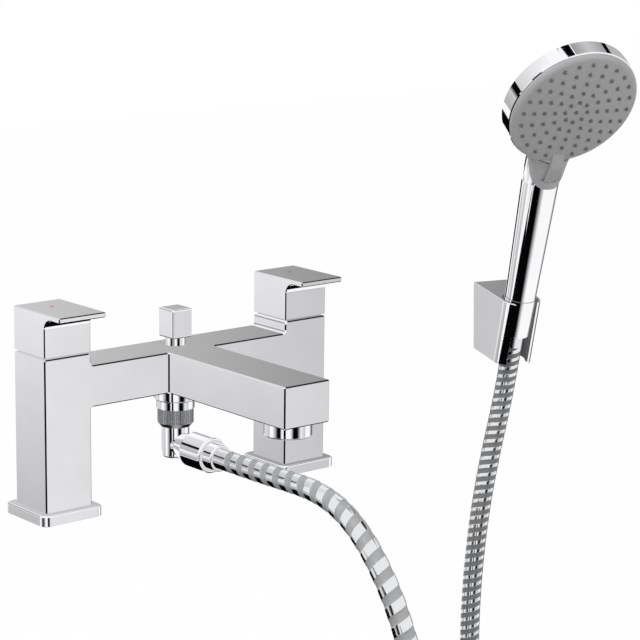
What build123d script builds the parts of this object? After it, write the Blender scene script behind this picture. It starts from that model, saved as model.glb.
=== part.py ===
from build123d import *
from math import acos, atan2, cos, hypot, pi, radians, sin, tan
import os

# Bath shower mixer for two deck holes, with hose, wall bracket and hand shower.
# Millimetres. X runs from the hot leg to the cold leg, -Y faces the bather, Z is up.
# The origin is midway between the legs, on the deck.

os.makedirs("parts", exist_ok=True)
stand = (Align.CENTER, Align.CENTER, Align.MIN)
hang = (Align.CENTER, Align.CENTER, Align.MAX)

# Driving sizes of the mixer casting
leg_spacing = 210.0
leg_width = 38.0
leg_top = 116.3
bridge_bottom = 77.9
bridge_height = 29.6
spout_width = 39.2
spout_reach = 149.0
casting_wall = 4.0
casting_edge = 0.9
corner_fillet = 2.4

# Base plates and deck seals
plate_size = 50.0
plate_corner = 5.5
plate_top = 8.2
plate_edge = 1.2
seal_height = 0.8
seal_inset = 2.0
spigot_radius = 18.2
loose_fit = 0.3

# Threaded inlets in the legs
inlet_outer_radius = 15.0
inlet_thread_radius = 12.1
inlet_length = 16.0
inlet_core_height = 62.0

# Shut-off cartridges
chamber_radius = 12.0
port_radius = 6.0
port_floor = 64.0
cartridge_seal_height = 2.0
cartridge_seal_outer = 9.0
nose_radius = 9.4
nose_bore = 7.6
nose_top = 96.0
thread_top = 114.0
gland_radius = 9.0
gland_top = 126.0
window_width = 8.0
window_bottom = 76.0
window_height = 15.0
disc_radius = 7.55
fixed_disc_height = 3.0
moving_disc_height = 3.0
disc_port_radius = 2.2
disc_port_offset = 4.0
disc_gap = 0.05
spindle_radius = 4.0
spindle_clearance = 0.06
carrier_height = 5.0
spindle_top = 142.0
sleeve_outer = 12.9
sleeve_inner = 10.6
sleeve_top = 134.0

# Levers
lever_gap = 1.4
lever_height = 30.7
lever_overhang = 18.6
lever_plate = 3.7
lever_fillet = 8.0
lever_edge = 0.7
lever_cavity_radius = 13.3
lever_cavity_height = 18.6
dot_radius = 1.7
dot_height = 0.6
grub_radius = 2.0
grub_length = 12.0
grub_height = 139.0
grub_socket = 1.1

# Diverter
diverter_bore = 10.0
diverter_ceiling = 100.0
diverter_top_bore = 6.9
bush_flange_radius = 9.0
bush_flange_height = 2.0
stem_radius = 3.0
stem_clearance = 0.05
seat_bottom = 81.5
seat_height = 2.5
seat_bore = 6.0
valve_radius = 8.2
valve_bottom = 85.2
valve_height = 2.5
oring_radius = 7.2
oring_thickness = 1.1
spring_radius = 5.2
spring_wire = 0.8
spring_turns = 4
knob_width = 17.4
knob_bottom = 113.5
knob_height = 21.2
knob_edge = 1.3
knob_neck_radius = 7.3
knob_neck_gap = 0.3
knob_bore_depth = 14.0

# Shower outlet under the bridge
adapter_spigot_radius = 9.9
adapter_bore = 6.0
adapter_flange_radius = 15.75
adapter_flange_bottom = 67.7
adapter_ring_radius = 13.8
adapter_ring_bottom = 61.6
coupling_thread_radius = 10.45
adapter_thread_bottom = 53.0
union_radius = 13.1
union_knurl_bottom = 50.8
union_bottom = 48.0
union_lip_radius = 10.9
union_knurls = 44
union_knurl_radius = 0.55
union_neck_radius = 8.3
washer_height = 1.5
elbow_radius = 9.95
elbow_bottom = 25.2
elbow_edge = 1.5
elbow_bore = 5.5
outlet_axis_height = 34.5
outlet_collar_start = 9.0
outlet_collar_small = 8.6
outlet_collar_large = 12.0
outlet_collar_end = 20.6
outlet_thread_end = 31.0
outlet_bore = 7.0
check_valve_start = 12.0
check_valve_length = 14.0
check_valve_bore = 3.5
hose_nut_radius = 12.8
hose_nut_end = 44.4
hose_nut_edge = 1.4
hose_nut_lip = 3.0
hose_flange_height = 2.0
ferrule_radius = 9.6
ferrule_end = 54.0
ferrule_edge = 1.0
fit_clearance = 0.1

# Aerator
aerator_setback = 20.4
aerator_radius = 16.5
aerator_drop = 9.9
aerator_edge = 1.0
aerator_thread_radius = 13.9
aerator_thread_height = 5.1
aerator_bore = 12.4
aerator_notch_width = 3.2
aerator_notch_height = 3.6
aerator_notch_depth = 1.6
insert_height = 11.0
insert_recess = 1.2
insert_hole_radius = 0.9
insert_hole_pitch = 3.0
insert_hole_rows = 6
aerator_seal_height = 1.5

# Hand shower, its bracket and the axis they share
holder_yaw = 16.0
holder_tilt = 15.0
holder_point = (267.0, -79.5, 123.5)
bracket_face_tilt = 5.0
bracket_drop = 2.0
bracket_height = 52.0
bracket_front_radius = 15.6
bracket_wall_distance = 39.4
bracket_back_half = 20.3
bracket_wall = 1.6
bracket_slot_half = 9.8
bracket_edge = 0.5
liner_radius = 13.9
liner_edge = 0.4
backplate_width = 27.0
backplate_height = 34.0
backplate_thickness = 3.0
backplate_hole_radius = 2.25
backplate_hole_spacing = 20.0
backplate_drop = 27.0
nut_top_gap = 0.3
nut_top_radius = 12.2
nut_bottom_radius = 11.2
nut_length = 31.0
nut_seat_gap = 0.25
nut_thread_depth = 8.0
nut_lip_radius = 7.0
filter_height = 1.5
filter_hole_rows = 4
handle_bottom_radius = 11.8
handle_top_radius = 14.1
handle_taper_length = 96.0
handle_wall = 2.2
nipple_collar_height = 8.0
nipple_bore = 7.2
pipe_radius = 6.6
pipe_bore = 5.2
pipe_top = 128.0

# Spray head
head_tilt = 18.0
head_forward = 32.0
head_rise = 163.8
head_radius = 50.2
head_rim = 17.0
head_dome = 6.0
head_wall = 2.4
trim_ring_setback = 5.2
trim_bevel = 0.5
spray_radius = 46.4
spray_rim_radius = 49.6
spray_rim_drop = 3.5
spray_thickness = 4.0
spray_crown = 1.6
ring_counts = (8, 12, 16, 20, 24)
ring_pitch = 8.3
ring_start = 9.1
nozzle_radius = 1.15
nozzle_root_radius = 1.5
nozzle_height = 1.3
mat_thickness = 1.2
distributor_thickness = 2.5
distributor_hole_radius = 3.0
distributor_hole_circle = 24.0
distributor_holes = 8
tab_width = 9.6
tab_root = 40.0
tab_reach = 65.3
tab_height = 2.8
tab_lift = 1.4
tab_rise_length = 9.0
insert_end = 94.5
insert_top = 122.5
insert_gap = 0.35

# Hose
hose_diameter = 15.0
hose_bore = 9.0
rib_pitch = 6.7
rib_depth = 0.35
rib_land_share = 0.62
rib_ramp_share = 0.1
hose_last_run = 30.0
run_share = 0.45

bridge_top = bridge_bottom + bridge_height
bridge_middle = bridge_bottom + bridge_height / 2
leg_x = {"hot": -leg_spacing / 2, "cold": leg_spacing / 2}
leg_plane = {side: Plane((x, 0, 0)) for side, x in leg_x.items()}
aerator_y = -(spout_reach - aerator_setback)

# Mixer casting: two legs, bridge and spout, cored for water
with BuildPart() as mixer_body:
    with BuildSketch(Plane.XY.offset(plate_top)):
        with Locations((leg_x["hot"], 0), (leg_x["cold"], 0)):
            Rectangle(leg_width, leg_width)
    extrude(amount=leg_top - plate_top)
    with BuildSketch(Plane.XY.offset(bridge_bottom)):
        Rectangle(leg_spacing, leg_width)
        with Locations((0, -spout_reach / 2)):
            Rectangle(spout_width, spout_reach)
    extrude(amount=bridge_height)
    inner_corners = (
        mixer_body.edges()
        .filter_by(Axis.Y)
        .filter_by(lambda edge: abs(abs(edge.center().X) - (leg_spacing - leg_width) / 2) < casting_edge)
        .filter_by(lambda edge: abs(edge.center().Z - bridge_middle) < bridge_height)
    )
    fillet(inner_corners, corner_fillet)
    above_plates = mixer_body.edges().filter_by(lambda edge: edge.center().Z > plate_top + casting_edge)
    chamfer(above_plates, casting_edge)
    with BuildSketch(Plane.XY):
        with Locations((leg_x["hot"], 0), (leg_x["cold"], 0)):
            Circle(spigot_radius)
    extrude(amount=plate_top)
    with Locations((leg_x["hot"], 0), (leg_x["cold"], 0)):
        Cylinder(inlet_outer_radius, inlet_core_height, align=stand, mode=Mode.SUBTRACT)
        Cylinder(port_radius, leg_top, align=stand, mode=Mode.SUBTRACT)
    with Locations((leg_x["hot"], 0, port_floor), (leg_x["cold"], 0, port_floor)):
        Cylinder(chamber_radius, leg_top - port_floor, align=stand, mode=Mode.SUBTRACT)
    with Locations((0, 0, bridge_middle)):
        Box(leg_spacing, leg_width - 4 * casting_wall, bridge_height - 3 * casting_wall, mode=Mode.SUBTRACT)
    with Locations((0, -(spout_reach - casting_wall) / 2, bridge_middle)):
        Box(
            spout_width - 2 * casting_wall,
            spout_reach - casting_wall,
            bridge_height - 3 * casting_wall,
            mode=Mode.SUBTRACT,
        )
    with BuildSketch(Plane.XY.offset(bridge_bottom)):
        Circle(bush_flange_radius + casting_wall)
    extrude(amount=bridge_height)
    with Locations((0, 0, bridge_bottom)):
        Cylinder(diverter_bore, diverter_ceiling - bridge_bottom, align=stand, mode=Mode.SUBTRACT)
        Cylinder(diverter_top_bore, bridge_height, align=stand, mode=Mode.SUBTRACT)
    with Locations((0, 0, bridge_middle)):
        Box(leg_width, leg_width / 3, bridge_height / 3, mode=Mode.SUBTRACT)
    with Locations((0, -bush_flange_radius, bridge_middle)):
        Box(2 * seat_bore, 2 * bush_flange_radius, bridge_height / 3, mode=Mode.SUBTRACT)
    with Locations((0, aerator_y, bridge_bottom)):
        Cylinder(aerator_thread_radius, bridge_height / 2, align=stand, mode=Mode.SUBTRACT)
mixer_body.part.label = "mixer_body"
export_step(mixer_body.part, "parts/mixer_body.step")

# Base plates under the legs
for side, plane in leg_plane.items():
    with BuildPart() as base_plate:
        with BuildSketch(plane.offset(seal_height)):
            RectangleRounded(plate_size, plate_size, plate_corner)
            Circle(spigot_radius + loose_fit, mode=Mode.SUBTRACT)
        extrude(amount=plate_top - seal_height)
        plate_rim = base_plate.faces().sort_by(Axis.Z)[-1].outer_wire().edges()
        fillet(plate_rim, plate_edge)
    base_plate.part.label = f"base_plate_{side}"
    export_step(base_plate.part, f"parts/base_plate_{side}.step")

# Rubber seals between the base plates and the deck
seal_size = plate_size - 2 * seal_inset
with BuildPart() as deck_seals:
    for plane in leg_plane.values():
        with BuildSketch(plane):
            RectangleRounded(seal_size, seal_size, plate_corner - seal_inset)
            Circle(spigot_radius + loose_fit, mode=Mode.SUBTRACT)
        extrude(amount=seal_height)
deck_seals.part.label = "deck_seals"
export_step(deck_seals.part, "parts/deck_seals.step")

# Female threaded inlets, fixed in the legs
for side, plane in leg_plane.items():
    with BuildPart(plane) as inlet_nipple:
        Cylinder(inlet_outer_radius, inlet_length, align=stand)
        Cylinder(inlet_thread_radius, inlet_length, align=stand, mode=Mode.SUBTRACT)
    inlet_nipple.part.label = f"inlet_nipple_{side}"
    export_step(inlet_nipple.part, f"parts/inlet_nipple_{side}.step")

# Cartridges: seal, fixed ceramic disc and threaded housing
cartridge_bottom = port_floor + cartridge_seal_height
with BuildPart() as cartridge_seals:
    for plane in leg_plane.values():
        with BuildSketch(plane.offset(port_floor)):
            Circle(cartridge_seal_outer)
            Circle(port_radius, mode=Mode.SUBTRACT)
        extrude(amount=cartridge_seal_height)
cartridge_seals.part.label = "cartridge_seals"
export_step(cartridge_seals.part, "parts/cartridge_seals.step")

with BuildPart() as fixed_discs:
    for plane in leg_plane.values():
        with BuildSketch(plane.offset(cartridge_bottom)):
            Circle(disc_radius)
            with Locations((disc_port_offset, 0), (-disc_port_offset, 0)):
                Circle(disc_port_radius, mode=Mode.SUBTRACT)
        extrude(amount=fixed_disc_height)
fixed_discs.part.label = "fixed_discs"
export_step(fixed_discs.part, "parts/fixed_discs.step")

moving_disc_bottom = cartridge_bottom + fixed_disc_height + disc_gap
carrier_bottom = moving_disc_bottom + moving_disc_height
for side, plane in leg_plane.items():
    with BuildPart(plane) as cartridge_housing:
        with Locations((0, 0, cartridge_bottom)):
            Cylinder(nose_radius, nose_top - cartridge_bottom, align=stand)
        with Locations((0, 0, nose_top)):
            Cylinder(chamber_radius, thread_top - nose_top, align=stand)
        with Locations((0, 0, thread_top)):
            Cylinder(gland_radius, gland_top - thread_top, align=stand)
        with Locations((0, 0, cartridge_bottom)):
            Cylinder(nose_bore, nose_top - cartridge_bottom, align=stand, mode=Mode.SUBTRACT)
        with Locations((0, 0, window_bottom + window_height / 2)):
            Box(3 * nose_radius, window_width, window_height, mode=Mode.SUBTRACT)
        with Locations((0, 0, nose_top)):
            guide_radius = spindle_radius + spindle_clearance
            Cylinder(guide_radius, gland_top - nose_top, align=stand, mode=Mode.SUBTRACT)
    cartridge_housing.part.label = f"cartridge_housing_{side}"
    export_step(cartridge_housing.part, f"parts/cartridge_housing_{side}.step")

    with BuildPart() as moving_disc:
        with BuildSketch(plane.offset(moving_disc_bottom)):
            Circle(disc_radius - disc_gap)
            with Locations((0, disc_port_offset), (0, -disc_port_offset)):
                Circle(disc_port_radius, mode=Mode.SUBTRACT)
        extrude(amount=moving_disc_height)
    moving_disc.part.label = f"moving_disc_{side}"
    export_step(moving_disc.part, f"parts/moving_disc_{side}.step")

    with BuildPart(plane) as spindle:
        with Locations((0, 0, carrier_bottom)):
            Cylinder(disc_radius - disc_gap, carrier_height, align=stand)
            Cylinder(spindle_radius, spindle_top - carrier_bottom, align=stand)
    spindle.part.label = f"spindle_{side}"
    export_step(spindle.part, f"parts/spindle_{side}.step")

    with BuildPart(plane) as cover_sleeve:
        with Locations((0, 0, leg_top)):
            Cylinder(sleeve_outer, sleeve_top - leg_top, align=stand)
            Cylinder(sleeve_inner, sleeve_top - leg_top, align=stand, mode=Mode.SUBTRACT)
    cover_sleeve.part.label = f"cover_sleeve_{side}"
    export_step(cover_sleeve.part, f"parts/cover_sleeve_{side}.step")

# Levers: square block with an overhanging plate, index dot and grub screw
lever_bottom = leg_top + lever_gap
lever_top = lever_bottom + lever_height
grub_start = spindle_radius
for side, plane in leg_plane.items():
    grub_plane = Plane(plane.origin + Vector(0, 0, grub_height), x_dir=(1, 0, 0), z_dir=(0, 1, 0))
    with BuildPart() as lever:
        with BuildSketch(plane.offset(lever_bottom)):
            Rectangle(leg_width, leg_width)
        extrude(amount=lever_height)
        with BuildSketch(plane.offset(lever_top - lever_plate)):
            with Locations((0, -lever_overhang / 2)):
                Rectangle(leg_width, leg_width + lever_overhang)
        extrude(amount=lever_plate)
        under_plate = (
            lever.edges()
            .filter_by(Axis.X)
            .filter_by(lambda edge: abs(edge.center().Y + leg_width / 2) < lever_edge)
            .filter_by(lambda edge: abs(edge.center().Z - lever_top + lever_plate) < lever_edge)
        )
        fillet(under_plate, lever_fillet)
        inner_end = -leg_width / 2 - lever_fillet - lever_edge
        upper = lever.edges().filter_by(lambda edge: edge.center().Z > lever_bottom + lever_edge)
        outer = upper.filter_by(
            lambda edge: edge.center().Z > lever_top - lever_plate / 2 or edge.center().Y < inner_end
        )
        standing = upper.filter_by(Axis.Z).filter_by(lambda edge: edge.length > lever_plate)
        chamfer(outer + standing, lever_edge)
        with Locations(plane.offset(lever_bottom).location):
            Cylinder(lever_cavity_radius, lever_cavity_height, align=stand, mode=Mode.SUBTRACT)
            Cylinder(spindle_radius, spindle_top - lever_bottom, align=stand, mode=Mode.SUBTRACT)
        with Locations(plane.offset(lever_top).location):
            Cylinder(dot_radius, dot_height, align=hang, mode=Mode.SUBTRACT)
        with BuildSketch(grub_plane.offset(grub_start)):
            Circle(grub_radius)
        extrude(amount=leg_width / 2 - grub_start, mode=Mode.SUBTRACT)
    lever.part.label = f"lever_{side}"
    export_step(lever.part, f"parts/lever_{side}.step")

    with BuildPart() as index_dot:
        with BuildSketch(plane.offset(lever_top - dot_height)):
            Circle(dot_radius)
        extrude(amount=dot_height)
    index_dot.part.label = f"index_dot_{side}"
    export_step(index_dot.part, f"parts/index_dot_{side}.step")

    with BuildPart() as lever_grub:
        with BuildSketch(grub_plane.offset(grub_start)):
            Circle(grub_radius)
        extrude(amount=grub_length)
        with BuildSketch(grub_plane.offset(grub_start + grub_length)):
            RegularPolygon(grub_socket, 6)
        extrude(amount=-grub_length / 4, mode=Mode.SUBTRACT)
    lever_grub.part.label = f"lever_grub_{side}"
    export_step(lever_grub.part, f"parts/lever_grub_{side}.step")

# Diverter: seat, guide bush, stem, valve disc with its ring, spring and knob
with BuildPart() as diverter_seat:
    with Locations((0, 0, seat_bottom)):
        Cylinder(diverter_bore, seat_height, align=stand)
        Cylinder(seat_bore, seat_height, align=stand, mode=Mode.SUBTRACT)
diverter_seat.part.label = "diverter_seat"
export_step(diverter_seat.part, "parts/diverter_seat.step")

bush_bottom = diverter_ceiling - bush_flange_height
with BuildPart() as diverter_bush:
    with Locations((0, 0, bush_bottom)):
        Cylinder(bush_flange_radius, bush_flange_height, align=stand)
        Cylinder(diverter_top_bore, bridge_top - bush_bottom, align=stand)
        Cylinder(stem_radius + stem_clearance, bridge_top - bush_bottom, align=stand, mode=Mode.SUBTRACT)
diverter_bush.part.label = "diverter_bush"
export_step(diverter_bush.part, "parts/diverter_bush.step")

stem_top = knob_bottom + knob_bore_depth
with BuildPart() as diverter_stem:
    with Locations((0, 0, valve_bottom)):
        Cylinder(stem_radius, stem_top - valve_bottom, align=stand)
diverter_stem.part.label = "diverter_stem"
export_step(diverter_stem.part, "parts/diverter_stem.step")

with BuildPart() as diverter_valve:
    with Locations((0, 0, valve_bottom)):
        Cylinder(valve_radius, valve_height, align=stand)
        Cylinder(stem_radius, valve_height, align=stand, mode=Mode.SUBTRACT)
diverter_valve.part.label = "diverter_valve"
export_step(diverter_valve.part, "parts/diverter_valve.step")

with BuildPart() as diverter_ring:
    with Locations((0, 0, valve_bottom)):
        Cylinder(oring_radius + oring_thickness / 2, oring_thickness, align=hang)
        Cylinder(oring_radius - oring_thickness / 2, oring_thickness, align=hang, mode=Mode.SUBTRACT)
diverter_ring.part.label = "diverter_ring"
export_step(diverter_ring.part, "parts/diverter_ring.step")

spring_bottom = valve_bottom + valve_height + spring_wire / 2
spring_height = bush_bottom - spring_bottom - spring_wire / 2
with BuildPart() as diverter_spring:
    with BuildLine() as coil:
        Helix(spring_height / spring_turns, spring_height, spring_radius, center=(0, 0, spring_bottom))
    with BuildSketch(Plane(coil.line @ 0, z_dir=coil.line % 0)):
        Circle(spring_wire / 2)
    sweep(path=coil.line, is_frenet=True)
diverter_spring.part.label = "diverter_spring"
export_step(diverter_spring.part, "parts/diverter_spring.step")

with BuildPart() as diverter_knob:
    with BuildSketch(Plane.XY.offset(knob_bottom)):
        Rectangle(knob_width, knob_width)
    extrude(amount=knob_height)
    fillet(diverter_knob.edges(), knob_edge)
    with Locations((0, 0, bridge_top + knob_neck_gap)):
        Cylinder(knob_neck_radius, knob_bottom + knob_edge - bridge_top - knob_neck_gap, align=stand)
    with Locations((0, 0, bridge_top)):
        Cylinder(stem_radius, stem_top - bridge_top, align=stand, mode=Mode.SUBTRACT)
diverter_knob.part.label = "diverter_knob"
export_step(diverter_knob.part, "parts/diverter_knob.step")

# Shower outlet: adapter, knurled union nut, washer and elbow
with BuildPart() as outlet_adapter:
    with Locations((0, 0, bridge_bottom)):
        Cylinder(adapter_spigot_radius, seat_bottom - bridge_bottom, align=stand)
        Cylinder(adapter_flange_radius, bridge_bottom - adapter_flange_bottom, align=hang)
    fillet(outlet_adapter.edges().group_by(Axis.Z)[0], casting_edge)
    with Locations((0, 0, adapter_flange_bottom)):
        Cylinder(adapter_ring_radius, adapter_flange_bottom - adapter_ring_bottom, align=hang)
    with Locations((0, 0, adapter_ring_bottom)):
        Cylinder(coupling_thread_radius, adapter_ring_bottom - adapter_thread_bottom, align=hang)
    with Locations((0, 0, seat_bottom)):
        Cylinder(adapter_bore, seat_bottom - adapter_thread_bottom, align=hang, mode=Mode.SUBTRACT)
outlet_adapter.part.label = "outlet_adapter"
export_step(outlet_adapter.part, "parts/outlet_adapter.step")

union_washer_bottom = adapter_thread_bottom - washer_height
with BuildPart() as union_washer:
    with Locations((0, 0, union_washer_bottom)):
        Cylinder(coupling_thread_radius, washer_height, align=stand)
        Cylinder(adapter_bore, washer_height, align=stand, mode=Mode.SUBTRACT)
union_washer.part.label = "union_washer"
export_step(union_washer.part, "parts/union_washer.step")

elbow_flange_height = (union_washer_bottom - union_bottom) / 2
with BuildPart() as union_nut:
    with Locations((0, 0, union_knurl_bottom)):
        Cylinder(union_radius, adapter_ring_bottom - union_knurl_bottom, align=stand)
    with Locations((0, 0, union_bottom)):
        Cone(union_lip_radius, union_radius, union_knurl_bottom - union_bottom, align=stand)
    with Locations((0, 0, union_knurl_bottom + union_knurl_radius)):
        with PolarLocations(union_radius, union_knurls):
            Cylinder(union_knurl_radius, adapter_ring_bottom, align=stand, mode=Mode.SUBTRACT)
    with Locations((0, 0, union_washer_bottom - elbow_flange_height)):
        Cylinder(coupling_thread_radius + fit_clearance, adapter_ring_bottom, align=stand, mode=Mode.SUBTRACT)
    with Locations((0, 0, union_bottom)):
        Cylinder(union_neck_radius + fit_clearance, adapter_ring_bottom, align=stand, mode=Mode.SUBTRACT)
union_nut.part.label = "union_nut"
export_step(union_nut.part, "parts/union_nut.step")

side_outlet = Plane((0, 0, outlet_axis_height), x_dir=(1, 0, 0), z_dir=(0, -1, 0))
with BuildPart() as elbow_barrel:
    with Locations((0, 0, union_bottom)):
        Cylinder(elbow_radius, union_bottom - elbow_bottom, align=hang)
    fillet(elbow_barrel.edges().group_by(Axis.Z)[0], elbow_edge)
with BuildPart() as outlet_collar:
    with BuildSketch(side_outlet):
        Circle(outlet_collar_small)
    extrude(amount=outlet_collar_start)
    with BuildSketch(side_outlet.offset(outlet_collar_start)):
        Circle(outlet_collar_small)
    with BuildSketch(side_outlet.offset(outlet_collar_end)):
        Circle(outlet_collar_large)
    loft()
    with BuildSketch(side_outlet.offset(outlet_collar_end)):
        Circle(coupling_thread_radius)
    extrude(amount=outlet_thread_end - outlet_collar_end)
with BuildPart() as elbow:
    add(elbow_barrel.part)
    add(outlet_collar.part)
    with Locations((0, 0, union_bottom)):
        Cylinder(union_neck_radius, union_washer_bottom - union_bottom, align=stand)
    with Locations((0, 0, union_washer_bottom)):
        Cylinder(coupling_thread_radius, elbow_flange_height, align=hang)
        Cylinder(elbow_bore, union_washer_bottom - outlet_axis_height, align=hang, mode=Mode.SUBTRACT)
    with BuildSketch(side_outlet):
        Circle(elbow_bore)
    extrude(amount=outlet_thread_end, mode=Mode.SUBTRACT)
    with BuildSketch(side_outlet.offset(check_valve_start)):
        Circle(outlet_bore)
    extrude(amount=outlet_thread_end - check_valve_start, mode=Mode.SUBTRACT)
elbow.part.label = "elbow"
export_step(elbow.part, "parts/elbow.step")

with BuildPart() as check_valve:
    with BuildSketch(side_outlet.offset(check_valve_start)):
        Circle(outlet_bore)
        Circle(check_valve_bore, mode=Mode.SUBTRACT)
    extrude(amount=check_valve_length)
    with BuildSketch(side_outlet.offset(check_valve_start + check_valve_length / 3)):
        Circle(check_valve_bore)
    extrude(amount=check_valve_bore)
check_valve.part.label = "check_valve"
export_step(check_valve.part, "parts/check_valve.step")

# Hose connection at the mixer: swivel nut, washer and crimped ferrule
hose_flange_start = outlet_thread_end + washer_height
hose_lip_start = hose_nut_end - hose_nut_lip
with BuildPart() as hose_nut:
    with BuildSketch(side_outlet.offset(outlet_collar_end)):
        Circle(hose_nut_radius)
    extrude(amount=hose_nut_end - outlet_collar_end)
    fillet(hose_nut.edges(), hose_nut_edge)
    with BuildSketch(side_outlet.offset(outlet_collar_end)):
        Circle(coupling_thread_radius + fit_clearance)
    extrude(amount=hose_lip_start - outlet_collar_end, mode=Mode.SUBTRACT)
    with BuildSketch(side_outlet.offset(hose_lip_start)):
        Circle(nut_lip_radius + loose_fit)
    extrude(amount=hose_nut_lip, mode=Mode.SUBTRACT)
hose_nut.part.label = "hose_nut"
export_step(hose_nut.part, "parts/hose_nut.step")

with BuildPart() as hose_washer:
    with BuildSketch(side_outlet.offset(outlet_thread_end)):
        Circle(coupling_thread_radius)
        Circle(check_valve_bore, mode=Mode.SUBTRACT)
    extrude(amount=washer_height)
hose_washer.part.label = "hose_washer"
export_step(hose_washer.part, "parts/hose_washer.step")

with BuildPart() as hose_ferrule:
    with BuildSketch(side_outlet.offset(hose_nut_end)):
        Circle(ferrule_radius)
    extrude(amount=ferrule_end - hose_nut_end)
    fillet(hose_ferrule.edges().group_by(Axis.Y)[0], ferrule_edge)
    with BuildSketch(side_outlet.offset(hose_flange_start)):
        Circle(coupling_thread_radius)
    extrude(amount=hose_flange_height)
    with BuildSketch(side_outlet.offset(hose_flange_start)):
        Circle(nut_lip_radius)
    extrude(amount=hose_nut_end - hose_flange_start)
    with BuildSketch(side_outlet.offset(hose_flange_start)):
        Circle(hose_bore / 2)
    extrude(amount=ferrule_end - hose_flange_start, mode=Mode.SUBTRACT)
hose_ferrule.part.label = "hose_ferrule"
export_step(hose_ferrule.part, "parts/hose_ferrule.step")

# Aerator under the spout
aerator_plane = Plane((0, aerator_y, bridge_bottom))
with BuildPart(aerator_plane) as aerator_housing:
    Cylinder(aerator_radius, aerator_drop, align=hang)
    fillet(aerator_housing.edges().group_by(Axis.Z)[0], aerator_edge)
    Cylinder(aerator_thread_radius, aerator_thread_height, align=stand)
    with Locations((aerator_radius, 0, -aerator_drop)):
        Box(2 * aerator_notch_depth, aerator_notch_width, 2 * aerator_notch_height, mode=Mode.SUBTRACT)
    with Locations((0, 0, aerator_thread_height)):
        Cylinder(aerator_bore, aerator_thread_height + aerator_drop, align=hang, mode=Mode.SUBTRACT)
aerator_housing.part.label = "aerator_housing"
export_step(aerator_housing.part, "parts/aerator_housing.step")

insert_bottom = insert_recess - aerator_drop
with BuildPart() as aerator_insert:
    with BuildSketch(aerator_plane.offset(insert_bottom)):
        Circle(aerator_bore)
        with GridLocations(insert_hole_pitch, insert_hole_pitch, insert_hole_rows, insert_hole_rows):
            Circle(insert_hole_radius, mode=Mode.SUBTRACT)
    extrude(amount=insert_height)
aerator_insert.part.label = "aerator_insert"
export_step(aerator_insert.part, "parts/aerator_insert.step")

with BuildPart() as aerator_seal:
    with BuildSketch(aerator_plane.offset(aerator_thread_height)):
        Circle(aerator_thread_radius)
        Circle(aerator_bore - aerator_edge, mode=Mode.SUBTRACT)
    extrude(amount=aerator_seal_height)
aerator_seal.part.label = "aerator_seal"
export_step(aerator_seal.part, "parts/aerator_seal.step")

# Frame of the bracket and hand shower: z along the handle, y back to the wall, x to the side
forward = Vector(-sin(radians(holder_yaw)), -cos(radians(holder_yaw)), 0)
sideways = Vector(cos(radians(holder_yaw)), -sin(radians(holder_yaw)), 0)
handle_axis = forward * sin(radians(holder_tilt)) + Vector(0, 0, cos(radians(holder_tilt)))
holder = Plane(holder_point, x_dir=sideways, z_dir=handle_axis)
bracket_top = holder.offset(-bracket_drop)
bracket_face = handle_axis.rotate(Axis((0, 0, 0), sideways), -bracket_face_tilt)
bracket_top_cut = Plane(bracket_top.origin, x_dir=sideways, z_dir=bracket_face)
bracket_foot = bracket_top.origin - handle_axis * bracket_height
bracket_bottom_cut = Plane(bracket_foot, x_dir=sideways, z_dir=bracket_face)
wall_point = bracket_top.origin - forward * bracket_wall_distance
wall_plane = Plane(wall_point, x_dir=sideways, z_dir=-forward)

# Outline of the bracket across its axis: a round front whose tangents flare to the wall
def bracket_outline(front_radius, back_half, back_distance):
    reach = hypot(back_half, back_distance)
    touch = atan2(back_distance, back_half) - acos(front_radius / reach)
    touch_x = front_radius * cos(touch)
    touch_y = front_radius * sin(touch)
    return [(touch_x, touch_y), (back_half, back_distance), (-back_half, back_distance), (-touch_x, touch_y)]


bracket_reach = bracket_wall_distance + bracket_height * sin(radians(holder_tilt)) / 2
bracket_base = bracket_top.offset(-3 * bracket_height / 2)
with BuildPart() as bracket_block:
    with BuildSketch(bracket_base):
        Circle(bracket_front_radius)
        Polygon(*bracket_outline(bracket_front_radius, bracket_back_half, bracket_reach), align=None)
    extrude(amount=2 * bracket_height)
    split(bisect_by=bracket_top_cut, keep=Keep.BOTTOM)
    split(bisect_by=bracket_bottom_cut, keep=Keep.TOP)
    split(bisect_by=wall_plane, keep=Keep.BOTTOM)
    fillet(bracket_block.edges(), bracket_edge)

inner_half = bracket_back_half - bracket_wall
with BuildPart() as bracket_pocket:
    with BuildSketch(bracket_base):
        Polygon(*bracket_outline(bracket_front_radius - bracket_wall, inner_half, bracket_reach), align=None)
        Circle(liner_radius + bracket_wall, mode=Mode.SUBTRACT)
    extrude(amount=2 * bracket_height)
    split(bisect_by=bracket_top_cut.offset(-bracket_wall), keep=Keep.BOTTOM)
    split(bisect_by=bracket_bottom_cut.offset(bracket_wall), keep=Keep.TOP)

with BuildPart() as bracket_shell:
    add(bracket_block.part)
    add(bracket_pocket.part, mode=Mode.SUBTRACT)
    with BuildSketch(bracket_base):
        Circle(liner_radius)
        with Locations((0, -bracket_front_radius)):
            Rectangle(2 * bracket_slot_half, 2 * bracket_front_radius)
    extrude(amount=2 * bracket_height, mode=Mode.SUBTRACT)
bracket_shell.part.label = "bracket_shell"
export_step(bracket_shell.part, "parts/bracket_shell.step")

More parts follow.
